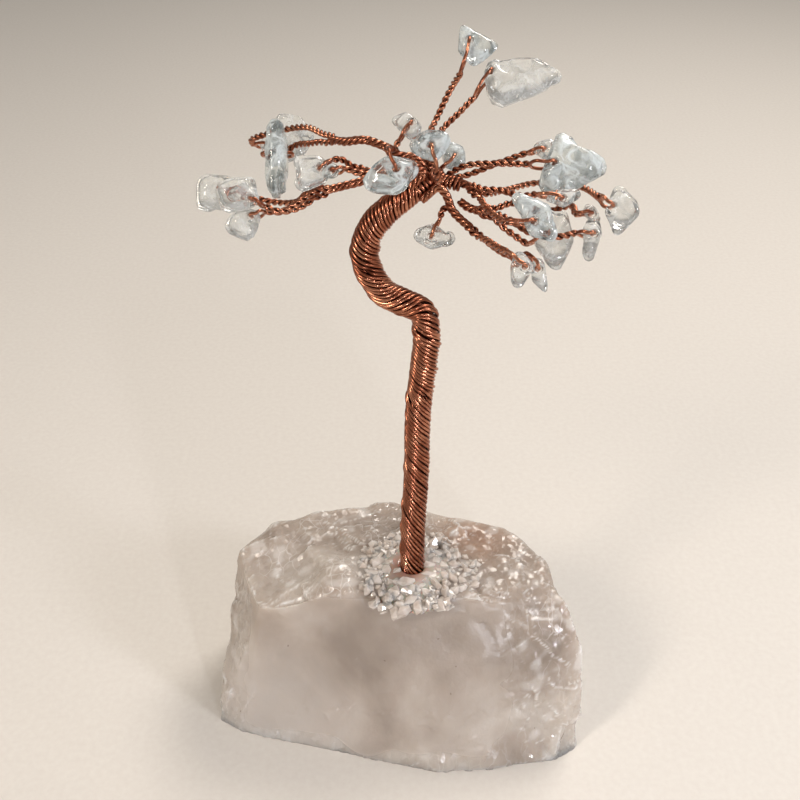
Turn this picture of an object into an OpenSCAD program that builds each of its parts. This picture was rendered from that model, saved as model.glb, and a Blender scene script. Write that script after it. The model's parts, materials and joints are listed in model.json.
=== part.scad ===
// A little wire tree: a rope of copper wires rises out of a lump of raw quartz, bends in an S and
// fans out into twisted twigs. Each twig ends in an open wire loop that carries one drilled quartz chip.
// Millimetres. The origin is in the flat underside of the rock, +Z is up and the front faces -Y.

/* [Wire] */
// Diameter of one copper wire
wire_d = 0.5; // [0.45:0.05:0.55]
// Diameter of a twisted pair of wires
pair_d = 1; // [0.9:0.05:1]
// Diameter of a stem where several pairs run together
stem_d = 1.2; // [1.1:0.1:1.3]

/* [Trunk] */
// Diameter of the whole rope
trunk_d = 3.9; // [3.6:0.1:4]
// Diameter of the bundle inside the outer wires
trunk_core_d = 2.9; // [2.6:0.1:3]
// Length of the bundle below the top of the rock
trunk_sunk = 10; // [8:1:14]

/* [Rock] */
// Diameter of the hole drilled for the trunk
rock_bore_d = 5; // [4.6:0.1:6]
// Radius of the rounding along the rock's broken edges
rock_edge_r = 0.8; // [0.4:0.1:1]
// Radius of the puddle of glue round the foot
glue_r = 9; // [7:0.5:10]
// Height of the glue above the rock at the trunk
glue_h = 0.9; // [0.6:0.1:1]
// Number of crushed quartz crumbs on the glue
grit_count = 34; // [12:1:36]

/* [Chips] */
// Diameter of the hole drilled through each chip
chip_bore_d = 1; // [0.8:0.1:1]
// Gap between the wire of a loop and the face of its chip
loop_gap = 0.2; // [0.15:0.05:0.25]
// Gap between the near edge of a chip and the twist that closes its loop
loop_reach = 0.8; // [0.7:0.1:1]

/* [Hidden] */
COPPER = [0.72, 0.42, 0.31];
DARK_COPPER = [0.55, 0.30, 0.22];
MILKY = [0.86, 0.82, 0.80];
CLEAR = [0.84, 0.89, 0.88, 0.7];
GLUE = [0.93, 0.90, 0.87, 0.6];

tube_sides = 8;
trunk_sides = 12;
ball_sides = 8;
round_sides = 32;
span_steps = 3;
slack = 0.1;
sleeve_gap = 0.02;
plug_clear = 0.02;
joint_swell = 1.05;
straight_run = 1;
fork_gap = 0.25;

// The chips hang with their broad faces turned up and to the front: this is the lean of that face.
face_lean = 55;

// Centre line of the trunk, from the bottom of the hole to the crown.
trunk_foot = [2, -1, 29.3];
trunk_line = [
    [2, -1, trunk_foot.z - trunk_sunk],
    [2, -1, 28],
    [2, -1, 31.5],
    [2.1, -0.5, 38],
    [2.5, 0.3, 48],
    [2.8, 1.4, 61],
    [3.5, 2, 68],
    [3.8, 2.4, 72.5],
    [3, 2.6, 75.6],
    [0.8, 2.7, 76.8],
    [-1.9, 2.8, 78.2],
    [-4, 3, 81.2],
    [-4.8, 3.3, 85],
    [-3.2, 3.6, 88.7],
    [-0.8, 3.8, 91],
    [1.3, 3.9, 92.4],
    [3.1, 4, 94]
];
bore_floor = trunk_foot.z - trunk_sunk - 1;
glue_base = trunk_foot.z - 1.6;
glue_top = trunk_foot.z + glue_h;
golden_angle = 137.5;
trunk_path = smooth(trunk_line, span_steps);
wrap_start = span_steps;
crown = trunk_path[len(trunk_path) - 1];
crown_axis = unit(crown - trunk_path[len(trunk_path) - 2]);
crown_back = across([0, 1, 0], crown_axis);
crown_side = cross(crown_back, -crown_axis);

// A place on the end face of the rope, where a wire comes straight out before it bends away:
// a is up and to the left, b is to the back.
function slot(a, b) =
    let (start = crown + fork_gap * crown_axis + a * crown_side + b * crown_back)
    [start, start + straight_run * crown_axis];

// Outline of the lump: its foot, its broken upper edge and the shoulder at the front right.
rock_foot = [
    [-30.6, -7.5, 0.5], [-26.8, -9.8, 0.5], [-13, -11.6, 0.5], [-6, -13.4, 0.5],
    [6, -17.8, 0.5], [10, -16.2, 0.5], [25.5, -15.6, 0.5], [29, -13.4, 0.5],
    [30.2, 0, 0.5], [26, 12, 0.5], [8, 18.5, 0.5], [-14, 18.5, 0.5], [-28.5, 11.5, 0.5]
];
rock_top = [
    [-21.5, -4.5, 27.2], [-9, -2.5, 28.6], [11.5, -6.5, 28.4], [16, -4.5, 28.4],
    [23, -3.5, 27.6], [28.8, -9.2, 19.5], [26, -5.5, 26.4], [23.5, 1, 27.2],
    [17.6, 10, 27.2], [12.6, 10.6, 27.6], [5, 13.8, 27.4], [-1, 16.2, 27.2],
    [-4, 16, 27.2], [-14.6, 14, 27.2], [-21.4, 11.8, 26.8], [-26.4, 6.4, 25.8]
];
// Conchoidal scoops broken out of the lump: centre and radius.
rock_scoops = [
    [[-27, -4, 58], 33],
    [[-75, -14, 24], 48],
    [[52, -42, 34], 43],
    [[2, -70, 26], 57]
];

// Stems: name and the points they run through above the crown.
STEMS = [
    ["left_high", each slot(1.6, 0.3), [2, 4.7, 97.2], [0, 4.6, 97.6], [-2, 4.2, 99], [-4.5, 3.8, 100],
        [-7, 4.5, 99.5], [-9, 6.5, 99]],
    ["left_mid", each slot(1.3, -1.3), [2.2, 2.4, 96.8], [-0.6, 2.2, 96.3], [-3.2, 2.8, 96], [-5, 3.4, 96]],
    ["left_low", each slot(0.6, 2.4), [2.6, 6.8, 96.1], [-0.6, 6.2, 95], [-4.5, 5.5, 93.8],
        [-7.5, 5, 93.2], [-10, 4, 93]],
    ["right", each slot(-1.5, -0.2), [6, 3.2, 94.4], [8, 2.6, 94.6], [9.5, 1, 94.5]],
    ["low", each slot(-1, -1.6), [5.6, 2, 93.8], [6.8, 0.4, 91.8], [9, -2, 90.5]],
    ["right_low", [7.8, 1.4, 92.6], [9, 0, 92.3], [10.6, -1.2, 92.5]]
];

// Chips. Each row holds:
//   0 name
//   1 centre of the hole
//   2 swing of the face about its own upright line, in degrees
//   3 direction in the face in which the twig pulls, in degrees from the face's right
//   4 the rounded lumps that the chip is the hull of: x, y, z in the face and a radius
//   5 swing that the loop leaves the chip each way, in degrees
//   6 where the twig starts and what it runs through on its way to the loop
CHIPS = [
    ["left_low_a", [-23.5, 9.5, 90], 0, 0,
        [[0, 1.2, 0, 1.4], [0, -1, 0, 1.4], [-3.1, 1.3, 0, 1.6], [-3.2, -1, 0, 1.5]], 15,
        [each fork(2, 3, 20), [-14, 6.6, 90.2], [-18, 9, 89.2]]],
    ["left_low_b", [-19, 0, 93.5], 0, -25,
        [[-0.1, 0.2, 0, 1.4], [-0.6, 1.8, 0, 1.5], [-3.3, 1.2, 0, 1.5], [-3, -0.3, 0, 1.5]], 15,
        [each fork(2, 3, 140), [-13, 1.4, 92.6], [-15.5, -0.8, 92.3]]],
    ["left_low_c", [-19.5, 2.5, 90], 0, 20,
        [[0, -0.2, 0, 1.3], [-1.6, -0.3, 0, 1.3], [-2.4, -1.4, 0, 1.4], [-0.6, -2.2, 0, 1.5]], 15,
        [each fork(2, 3, 260), [-12.5, 3, 91.4], [-15.5, 2.6, 90.6]]],
    ["left_high_a", [-16.5, 9.5, 96], -90, 180,
        [[-0.3, 2.9, 0, 1.6], [1.6, 2.8, 0, 1.5], [-0.3, -4.6, 0, 1.6], [1.7, -4.8, 0, 1.7]], 8,
        [each fork(0, 2, 225), [-12, 9.2, 97.4], [-14.6, 12, 95.8]]],
    ["left_high_b", [-18, 18, 93.5], 0, 175,
        [[-1.1, 0.2, 0, 0.9], [1.2, 3.9, 0, 0.9], [3.4, 3.6, 0, 0.9], [5, 1.2, 0, 1],
         [3.5, -1, 0, 1], [0.6, -2.2, 0, 0.9]], 12,
        [each fork(0, 2, 45), [-12.5, 11.5, 98.8], [-17, 14.5, 97], [-20.8, 16.5, 95]]],
    ["left_mid_a", [-10.5, 3, 96.4], 15, 35,
        [[0, 0.6, 0, 1.2], [0.2, -1, 0, 1.2], [-2.2, 0.6, 0, 1.2], [-2, -1.8, 0, 1.4]], 15,
        [each fork(1, 2, 20), [-7.8, 4.4, 97.2]]],
    ["left_mid_b", [-8.5, 1, 97], -10, 10,
        [[0, 0.2, 0, 0.9], [-0.8, -0.3, 0, 0.8], [0.1, -0.3, 0, 0.9]], 20,
        [[-3.5, 1.6, 96.1], [-4.9, 1.2, 96.5]]],
    ["middle_a", [-0.5, -2.5, 98.5], 0, 112,
        [[-2.6, -1.2, 0, 1.7], [0, -1.3, 0, 1.8], [1.5, 0.1, 0, 1.5], [-0.8, 0.4, 0, 1.6]], 10,
        [[-0.9, 2.4, 99.3], [-1.4, 1, 100.1]]],
    ["middle_b", [3.8, -1, 101], 0, 285,
        [[-1.6, 0.2, 0, 1.4], [1.2, 0.7, 0, 1.4], [0.2, -0.7, 0, 1.4], [-0.4, 1, 0, 1.3]], 10,
        [each slot(0.2, -0.7), [4.4, 1.4, 95.8], [4.8, -1.6, 97]]],
    ["middle_c", [7, 7.6, 96.2], 10, 225,
        [[-0.4, 0.9, 0, 1.2], [0.5, 0.6, 0, 1.2], [0.5, -0.7, 0, 1.3], [-0.3, -0.7, 0, 1.2]], 15,
        [each slot(-0.4, 0.2), [5.2, 4.8, 95.2]]],
    ["back", [1.5, 8.5, 100.5], 0, 235,
        [[-2, 0.3, 0, 0.7], [-0.8, 0.8, 0, 0.7], [0.9, -0.6, 0, 0.8], [0.3, -2, 0, 0.7]], 20,
        [[-0.6, 5.8, 97.6], [-0.5, 6.4, 98.1]]],
    ["top_a", [9, 14, 109.5], 0, 255,
        [[-0.8, 1.6, 0, 0.5], [3.3, -0.7, 0, 0.6], [0.4, -3, 0, 0.9], [-0.7, -1.3, 0, 0.9],
         [1.6, -1.5, 0, 1.1]], 20,
        [each slot(0.5, 0.9), [3.7, 9, 98.2], [5, 12, 100], [6.6, 13, 103.2]]],
    ["top_b", [12.2, 16.5, 104.4], 0, 235,
        [[1.5, -2.5, 0, 2.2], [0.8, 0.2, 0, 1.8], [8.5, -0.3, 0, 1.4], [6.4, 0.9, 0, 1.3],
         [5.5, -1.5, 0, 1.8]], 15,
        [each slot(-0.3, 1.7), [4.4, 9.4, 97.4], [6, 12.2, 98.6], [7.8, 13.2, 100]]],
    ["right_high_a", [19.5, 2, 97.5], 0, 180,
        [[1.1, 2.9, 0, 1.2], [5.6, -0.3, 0, 1.5], [0.3, -3.4, 0, 1.4], [-1.1, -2.8, 0, 1.2],
         [0.8, 0, 0, 1.8]], 12,
        [each slot(-1.6, 1), [8, 4.2, 96.2], [13, 3.4, 97]]],
    ["right_high_b", [19, 8, 97], 0, 190,
        [[-0.6, 0.2, 0, 1], [0.8, 0.6, 0, 1], [0.8, -0.8, 0, 1]], 20,
        [each slot(-1.4, 2.3), [7.8, 7, 93.6], [13, 7.4, 95.4]]],
    ["right_a", [16, -9.5, 95], 0, 180,
        [[-2, 2.9, 0, 0.9], [0.2, -1, 0, 1], [2.1, -1.7, 0, 1], [1.2, 1.3, 0, 1.1]], 15,
        [each fork(3, 3, 320), [10.5, -3, 94.2], [11.6, -6.6, 94.4]]],
    ["right_b", [20, -4, 95.5], 0, 170,
        [[-1.5, 0.2, 0, 0.9], [1.7, 0.5, 0, 0.8], [0.2, -0.3, 0, 0.9]], 10,
        [each fork(3, 3, 80), [12.5, -0.8, 95.2], [15.5, -3, 95.4]]],
    ["right_c", [25.5, -7.5, 96], 0, 140,
        [[1, 1.6, 0, 1.1], [2.6, -0.4, 0, 1.1], [0.7, -2.8, 0, 0.8], [0, -0.7, 0, 0.9]], 20,
        [each fork(3, 3, 200), [13, 2.4, 93.6], [18.5, 6, 93.2], [23.5, 4, 93.6], [25.2, -1.5, 94.4]]],
    ["right_d", [23.6, -5.2, 94], 0, 180,
        [[-0.3, 0.7, 0, 0.9], [0.4, -0.6, 0, 0.9]], 15,
        [each fork(5, 3, 150), [14, -0.8, 93.4], [18.5, -0.4, 92], [21.6, -1.6, 93.4]]],
    ["right_e", [23.5, -8, 92.6], 0, 175,
        [[0, 0.9, 0, 1.2], [0.1, -0.4, 0, 1.2], [-0.5, -2.6, 0, 0.9]], 20,
        [each fork(5, 3, 30), [13, -4.4, 93.2], [16.8, -8.2, 92.6], [19.6, -9, 92.8]]],
    ["right_f", [19, -4.5, 91], 0, 205,
        [[0.7, -3.9, 0, 1.1], [-1, -1.3, 0, 1.2], [1.7, -1, 0, 1.3], [1.3, 2, 0, 1.1],
         [-0.8, 2, 0, 1.1]], 15,
        [each fork(5, 3, 270), [13, -3, 91.2]]],
    ["low_a", [15, -12.5, 90.5], 0, 140,
        [[-0.7, 1.2, 0, 0.8], [0.1, 0, 0, 1], [-0.9, -1.8, 0, 0.9], [-1, 0, 0, 0.9]], 20,
        [each fork(4, 2, 20), [10.8, -6, 90.8], [12.2, -9.5, 91.4]]],
    ["low_b", [17, -9.5, 88.6], 0, 120,
        [[0, 0.6, 0, 0.9], [-0.2, -1, 0, 0.8], [0.9, -2.5, 0, 0.5]], 20,
        [each fork(4, 2, 200), [11.8, -5, 89.4], [14, -7.6, 89.4]]],
    ["front", [4, -1.5, 89], 0, 63,
        [[-1.3, 0.2, 0, 1.1], [0.3, 1, 0, 1.1], [2.2, -0.2, 0, 1.1], [0.2, -0.6, 0, 1.2]], 20,
        [[5.5, 0.7, 91.8]]]
];

// ---- small geometry helpers ----

function unit(v) = v / norm(v);

// Turns a point of a chip's face frame to the part's own directions.
function swung(p, a) = [p.x * cos(a) + p.z * sin(a), p.y, p.z * cos(a) - p.x * sin(a)];
function leaned(p) =
    [p.x, p.y * cos(face_lean) - p.z * sin(face_lean), p.y * sin(face_lean) + p.z * cos(face_lean)];
function in_face(chip, p) = chip[1] + leaned(swung(p, chip[2]));

// How far a chip reaches from its hole towards its twig, and to each side of its face.
function near_edge(chip) =
    max([for (b = chip[4]) b[3] + b.x * cos(chip[3]) + b.y * sin(chip[3])]);
function half_thickness(chip) = max([for (b = chip[4]) b[3] + abs(b.z)]);
function loop_side(chip) = half_thickness(chip) + loop_gap + wire_d / 2;
function loop_root(chip) = near_edge(chip) + loop_reach;
function twist_end(chip) =
    in_face(chip, loop_root(chip) * [cos(chip[3]), sin(chip[3]), 0]);

// The start of one of several twigs that leave a stem's end side by side.
function stem_line(s) = [for (i = [1 : len(STEMS[s]) - 1]) STEMS[s][i]];
function fork_radius(count) = (pair_d / 2 + slack / 2) / sin(180 / count);
function fork(s, count, angle) =
    let (line = smooth(stem_line(s), span_steps), last = line[len(line) - 1])
    let (along = unit(last - line[len(line) - 2]))
    let (side = unit(cross(along, [0, 0, 1])), up = cross(side, along))
    let (start = last + fork_gap * along + fork_radius(count) * (cos(angle) * side + sin(angle) * up))
    [start, start + straight_run * along];

// A smooth curve through a list of points. Near and far neighbours pull on a point's heading alike,
// so a short run next to a long one doesn't fold.
function heading(points, i) =
    let (last = len(points) - 1)
    let (before = points[max(i, 1)] - points[max(i, 1) - 1])
    let (after = points[min(i + 1, last)] - points[min(i + 1, last) - 1])
    (norm(before) * unit(after) + norm(after) * unit(before)) / (norm(before) + norm(after));
function on_span(a, b, leave, arrive, t) =
    (1 - t) * (1 - t) * ((1 + 2 * t) * a + t * norm(b - a) * leave)
    + t * t * ((3 - 2 * t) * b - (1 - t) * norm(b - a) * arrive);
function smooth(points, steps) =
    let (last = len(points) - 1)
    concat(
        [for (i = [0 : last - 1], k = [0 : steps - 1])
            on_span(points[i], points[i + 1], heading(points, i), heading(points, i + 1), k / steps)],
        [points[last]]
    );

// Tangents along a line, and side vectors carried along it without twist.
function tangents(line) =
    [for (i = [0 : len(line) - 1]) unit(line[min(i + 1, len(line) - 1)] - line[max(i - 1, 0)])];
function across(v, t) = unit(v - (v * t) * t);
function carried(t, first) =
    [for (i = 0, n = across(first, t[0]); i < len(t); i = i + 1, n = i < len(t) ? across(n, t[i]) : n) n];
function ring(centre, side, tangent, r, sides) =
    let (other = cross(tangent, side))
    [for (k = [0 : sides - 1]) centre + r * (cos(360 * k / sides) * side + sin(360 * k / sides) * other)];
function rings(line, r, sides) =
    let (t = tangents(line), n = carried(t, [0.3, -0.8, 0.5]))
    [for (i = [0 : len(line) - 1]) each ring(line[i], n[i], t[i], r, sides)];
function skin(count, sides, base) =
    [for (i = [0 : count - 2], k = [0 : sides - 1])
        let (a = base + i * sides + k, b = base + i * sides + (k + 1) % sides)
        [a, b, b + sides, a + sides]];
function reversed(list) = [for (i = [len(list) - 1 : -1 : 0]) list[i]];

// A round solid along a line of points.
module tube(line, d, sides) {
    last = (len(line) - 1) * sides;
    faces = concat(
        skin(len(line), sides, 0),
        [[for (k = [sides - 1 : -1 : 0]) k]],
        [[for (k = [0 : sides - 1]) last + k]]
    );
    polyhedron(points = rings(line, d / 2, sides), faces = [for (f = faces) reversed(f)]);
}

// A round sleeve along a line of points.
module sleeve(line, d, bore, sides) {
    count = len(line);
    inner = count * sides;
    last = (count - 1) * sides;
    faces = concat(
        skin(count, sides, 0),
        [for (f = skin(count, sides, inner)) reversed(f)],
        [for (k = [0 : sides - 1]) let (j = (k + 1) % sides) [j, k, inner + k, inner + j]],
        [for (k = [0 : sides - 1]) let (j = (k + 1) % sides)
            [last + k, last + j, inner + last + j, inner + last + k]]
    );
    points = concat(rings(line, d / 2, sides), rings(line, bore / 2, sides));
    polyhedron(points = points, faces = [for (f = faces) reversed(f)]);
}

// A straight piece of wire between two points.
module rod(a, b, d) {
    v = b - a;
    translate(a)
        rotate([0, acos(v.z / norm(v)), atan2(v.y, v.x)])
            cylinder(d = d, h = norm(v), $fn = round_sides);
}

// Places children in a chip's face frame, with the hole along Z.
module at_chip(chip) {
    translate(chip[1])
        rotate([face_lean, 0, 0])
            rotate([0, chip[2], 0])
                children();
}

// ---- the pieces ----

module rock_lump() {
    difference() {
        hull() {
            for (p = concat(rock_foot, rock_top)) {
                translate(p)
                    sphere(r = rock_edge_r, $fn = ball_sides);
            }
        }
        translate([-50, -50, -10])
            cube([100, 100, 10]);
        for (s = rock_scoops) {
            translate(s[0])
                sphere(r = s[1], $fn = 96);
        }
    }
}

module rock_base() {
    color(MILKY)
        difference() {
            rock_lump();
            translate([trunk_foot.x, trunk_foot.y, bore_floor])
                cylinder(d = rock_bore_d, h = trunk_foot.z, $fn = round_sides);
        }
}

// Fills the hole round the trunk and lies as a low cone on the rock.
module glue() {
    color(GLUE)
        difference() {
            union() {
                translate([trunk_foot.x, trunk_foot.y, bore_floor])
                    cylinder(d = rock_bore_d, h = trunk_foot.z - bore_floor, $fn = round_sides);
                difference() {
                    translate([trunk_foot.x, trunk_foot.y, glue_base])
                        cylinder(r1 = glue_r, r2 = trunk_d, h = glue_top - glue_base, $fn = round_sides);
                    rock_lump();
                }
            }
            translate([trunk_foot.x, trunk_foot.y, trunk_line[0].z])
                cylinder(d = trunk_core_d + plug_clear, h = trunk_foot.z, $fn = round_sides);
            translate([trunk_foot.x, trunk_foot.y, trunk_path[wrap_start].z])
                cylinder(d = trunk_d + plug_clear, h = trunk_foot.z, $fn = round_sides);
        }
}

// Crushed quartz strewn over the glue, thickest at the trunk.
module grit() {
    turns = rands(0, 360, 3 * grit_count, 7);
    sizes = rands(0.45, 0.95, grit_count, 11);
    color(CLEAR)
        difference() {
            for (i = [0 : grit_count - 1]) {
                spread = trunk_d / 2 + 0.6 + (glue_r - 3.4) * sqrt(i / grit_count);
                angle = i * golden_angle;
                translate([
                    trunk_foot.x + spread * cos(angle),
                    trunk_foot.y + spread * sin(angle),
                    glue_top - 0.12 * spread
                ])
                    rotate([turns[3 * i], turns[3 * i + 1], turns[3 * i + 2]])
                        hull() {
                            sphere(r = sizes[i], $fn = 5);
                            translate([sizes[i], 0, 0])
                                sphere(r = sizes[i] / 2, $fn = 4);
                        }
            }
            rock_lump();
            translate([trunk_foot.x, trunk_foot.y, 0])
                cylinder(d = trunk_d + 2 * slack, h = 2 * trunk_foot.z, $fn = round_sides);
        }
}

module trunk_core() {
    color(DARK_COPPER)
        tube(trunk_path, trunk_core_d, trunk_sides);
}

module trunk_wrap() {
    line = [for (i = [wrap_start : len(trunk_path) - 1]) trunk_path[i]];
    color(COPPER)
        sleeve(line, trunk_d, trunk_core_d / cos(180 / trunk_sides) + 2 * sleeve_gap, trunk_sides);
}

module stem(s) {
    color(COPPER)
        tube(smooth(stem_line(s), span_steps), stem_d, tube_sides);
}

// A twisted pair that ends in a loop: down one side of the chip, through its hole and back up the other.
module twig(chip) {
    side = loop_side(chip);
    root = loop_root(chip);
    shoulder = near_edge(chip) + slack;
    corners = [
        [root, 0, 0], [shoulder, 0, side], [0, 0, side],
        [0, 0, -side], [shoulder, 0, -side], [root, 0, 0]
    ];
    color(COPPER) {
        tube(smooth(concat(chip[6], [twist_end(chip)]), span_steps), pair_d, tube_sides);
        at_chip(chip)
            rotate([0, 0, chip[3]]) {
                for (i = [0 : len(corners) - 2]) {
                    rod(corners[i], corners[i + 1], wire_d);
                    translate(corners[i])
                        sphere(d = wire_d * joint_swell, $fn = round_sides);
                }
            }
    }
}

// A tumbled chip, drilled through.
module chip(c) {
    color(CLEAR)
        at_chip(c)
            difference() {
                hull() {
                    for (b = c[4]) {
                        translate([b.x, b.y, b.z])
                            sphere(r = b[3], $fn = ball_sides);
                    }
                }
                cylinder(d = chip_bore_d, h = 4 * half_thickness(c), center = true, $fn = round_sides);
            }
}

rock_base();
glue();
grit();
trunk_core();
trunk_wrap();
for (s = [0 : len(STEMS) - 1]) {
    stem(s);
}
for (c = CHIPS) {
    twig(c);
    chip(c);
}
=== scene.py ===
"""A copper-wire tree with drilled quartz chips, standing in a lump of raw milky quartz.

Everything is in metres in the part's own frame: origin in the flat underside of the rock, +Z up,
front towards -Y. Lengths written with MM are millimetres.
"""

import json
import math
import random

import bpy
from mathutils import Matrix, Vector, noise
from mathutils.kdtree import KDTree


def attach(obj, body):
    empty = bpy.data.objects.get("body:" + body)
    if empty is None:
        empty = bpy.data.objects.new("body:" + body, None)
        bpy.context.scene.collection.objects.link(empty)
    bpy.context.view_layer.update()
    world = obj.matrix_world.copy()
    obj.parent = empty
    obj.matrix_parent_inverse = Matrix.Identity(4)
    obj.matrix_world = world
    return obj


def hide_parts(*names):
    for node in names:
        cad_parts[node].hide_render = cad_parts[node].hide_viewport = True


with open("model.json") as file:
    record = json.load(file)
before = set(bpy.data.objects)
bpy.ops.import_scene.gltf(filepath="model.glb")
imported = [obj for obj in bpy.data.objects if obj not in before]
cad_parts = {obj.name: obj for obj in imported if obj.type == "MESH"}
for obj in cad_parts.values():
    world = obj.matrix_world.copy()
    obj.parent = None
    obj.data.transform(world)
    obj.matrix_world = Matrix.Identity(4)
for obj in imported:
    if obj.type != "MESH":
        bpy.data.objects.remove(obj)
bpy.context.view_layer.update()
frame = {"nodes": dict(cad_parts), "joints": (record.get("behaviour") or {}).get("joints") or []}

MM = 0.001

# ---------------------------------------------------------------- camera, light and floor

camera = bpy.data.objects.new("camera", bpy.data.cameras.new("camera"))
bpy.context.scene.collection.objects.link(camera)
camera.location = (0, -124.5 * MM, 150 * MM)
camera.rotation_euler = (math.radians(54.8), 0, 0)
camera.data.lens = 47.25
camera.data.clip_start = 5 * MM
bpy.context.scene.camera = camera


def linear(hex_colour):
    """An sRGB hex colour as linear RGBA."""
    parts = [int(hex_colour[i : i + 2], 16) / 255 for i in (1, 3, 5)]
    return [*(c / 12.92 if c <= 0.04045 else ((c + 0.055) / 1.055) ** 2.4 for c in parts), 1.0]


def soft_light(name, place, aim, size, watts, colour, spread=180):
    lamp = bpy.data.lights.new(name, "AREA")
    lamp.shape = "RECTANGLE"
    lamp.size, lamp.size_y = (s * MM for s in size)
    lamp.energy = watts
    lamp.spread = math.radians(spread)
    lamp.color = linear(colour)[:3]
    holder = bpy.data.objects.new(name, lamp)
    bpy.context.scene.collection.objects.link(holder)
    holder.location = Vector(place) * MM
    holder.rotation_euler = (Vector(aim) - Vector(place)).to_track_quat("-Z", "Y").to_euler()


soft_light("window_light", (210, 240, 440), (0, 0, 50), (240, 170), 1.6, "#FFF8F0")
soft_light("front_light", (-240, -200, 330), (0, 0, 60), (70, 120), 0.75, "#FFF3E6")
soft_light("side_light", (260, -150, 210), (0, 0, 40), (45, 70), 0.4, "#F6F8FF")
soft_light("glint_light", (150, -380, 110), (0, 0, 20), (34, 28), 0.08, "#F4F6FF", 70)

world = bpy.data.worlds.new("studio_air")
bpy.context.scene.world = world
world.use_nodes = True
world.node_tree.nodes["Background"].inputs["Color"].default_value = linear("#D6D2CC")
world.node_tree.nodes["Background"].inputs["Strength"].default_value = 0.5
bpy.context.scene.view_settings.view_transform = "Standard"

# ---------------------------------------------------------------- shader helpers


def surface(name):
    """A new material and its Principled shader."""
    made = bpy.data.materials.new(name)
    made.use_nodes = True
    return made, made.node_tree.nodes["Principled BSDF"]


def add(tree, kind, settings=None, **links):
    """Adds a node. settings go on the node or its sockets, links come from other nodes' sockets."""
    node = tree.nodes.new(kind)
    for key, value in (settings or {}).items():
        if hasattr(node, key):
            setattr(node, key, value)
        else:
            node.inputs[key].default_value = value
    for key, socket in links.items():
        tree.links.new(socket, node.inputs[key.replace("_", " ")])
    return node


def tones(tree, value, *stops):
    """Turns a 0 to 1 value into a colour between (place, hex) stops."""
    node = add(tree, "ShaderNodeValToRGB", Fac=value)
    ramp = node.color_ramp.elements
    while len(ramp) < len(stops):
        ramp.new(1.0)
    for element, (place, colour) in zip(ramp, stops):
        element.position = place
        element.color = linear(colour)
    return node.outputs["Color"]


def levels(tree, value, *stops):
    """Turns a 0 to 1 value into a number between (place, number) stops."""
    node = add(tree, "ShaderNodeValToRGB", Fac=value)
    ramp = node.color_ramp.elements
    while len(ramp) < len(stops):
        ramp.new(1.0)
    for element, (place, number) in zip(ramp, stops):
        element.position = place
        element.color = (number, number, number, 1)
    return node.outputs["Color"]


# ---------------------------------------------------------------- materials


def drawn_copper(name, bright, brown, shade_and_oxide):
    """Bare drawn copper wire: bright where it was drawn and where handling rubs it, browned by air and fingers, and
    painted darker where the wires lie against each other, as shade and oxide.
    """
    made, shader = surface(name)
    tree = made.node_tree
    place = add(tree, "ShaderNodeTexCoord").outputs["Object"]
    # The brown film comes in patches 2 to 4 mm long.
    film = add(tree, "ShaderNodeTexNoise", {"Scale": 350, "Detail": 3.0, "Roughness": 0.6}, Vector=place)
    colour = tones(tree, film.outputs["Fac"], (0.3, bright), (0.6, brown))
    # Painted shade, with some oxide: the colour goes to the shade tone on the inner sides of the wires, where they lie
    # against each other and nothing rubs the oxide off.
    rubbed_and_unshaded = add(tree, "ShaderNodeAttribute", {"attribute_name": "rubbed_and_unshaded"})
    metal = add(tree, "ShaderNodeMix", {"data_type": "RGBA"})
    metal.inputs[6].default_value = linear(shade_and_oxide)
    tree.links.new(colour, metal.inputs[7])
    tree.links.new(rubbed_and_unshaded.outputs["Fac"], metal.inputs[0])
    tree.links.new(metal.outputs[2], shader.inputs["Base Color"])
    shader.inputs["Metallic"].default_value = 1.0
    tree.links.new(levels(tree, film.outputs["Fac"], (0.3, 0.18), (0.7, 0.34)), shader.inputs["Roughness"])
    # Fine die scratches, drawn coarser than life at 0.08 mm.
    scratch = add(tree, "ShaderNodeTexNoise", {"Scale": 9000, "Detail": 2.0}, Vector=place)
    bump = add(tree, "ShaderNodeBump", {"Strength": 0.04, "Distance": 0.00003}, Height=scratch.outputs["Fac"])
    tree.links.new(bump.outputs["Normal"], shader.inputs["Normal"])
    return made


# The last colour of each copper is the painted shade tone between the wires.
COPPER = drawn_copper("bare_copper_wire", "#CC8E70", "#935841", "#5E3122")
# The inner wires are the same copper painted darker, as the shade inside the rope.
SHADED_COPPER = drawn_copper("shaded_copper_bundle", "#7E4936", "#633426", "#4A2419")


def clear_quartz(name, tint, cloud, veil):
    """Tumbled rock crystal: glassy and almost colourless, with milky veils inside and a soft polish."""
    made, shader = surface(name)
    tree = made.node_tree
    place = add(tree, "ShaderNodeTexCoord").outputs["Object"]
    # Veils are sheets of tiny bubbles 1 to 3 mm across.
    veils = add(tree, "ShaderNodeTexNoise", {"Scale": 420, "Detail": 4.0, "Distortion": 1.2}, Vector=place)
    mist = levels(tree, veils.outputs["Fac"], (0.42, 0.04), (0.6, veil), (0.7, veil * 0.4))
    colour = add(tree, "ShaderNodeMix", {"data_type": "RGBA"})
    colour.inputs[6].default_value = linear(tint)
    colour.inputs[7].default_value = linear(cloud)
    tree.links.new(mist, colour.inputs[0])
    tree.links.new(colour.outputs[2], shader.inputs["Base Color"])
    clear = add(tree, "ShaderNodeMath", {"operation": "SUBTRACT"})
    clear.inputs[0].default_value = 1.0
    tree.links.new(mist, clear.inputs[1])
    tree.links.new(clear.outputs[0], shader.inputs["Transmission Weight"])
    shader.inputs["IOR"].default_value = 1.54
    shader.inputs["Roughness"].default_value = 0.03
    # Tumbling leaves a slight orange-peel, about 0.5 mm from crest to crest.
    peel = add(tree, "ShaderNodeTexNoise", {"Scale": 1800, "Detail": 2.0}, Vector=place)
    bump = add(tree, "ShaderNodeBump", {"Strength": 0.2, "Distance": 0.00005}, Height=peel.outputs["Fac"])
    tree.links.new(bump.outputs["Normal"], shader.inputs["Normal"])
    return made


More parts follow.
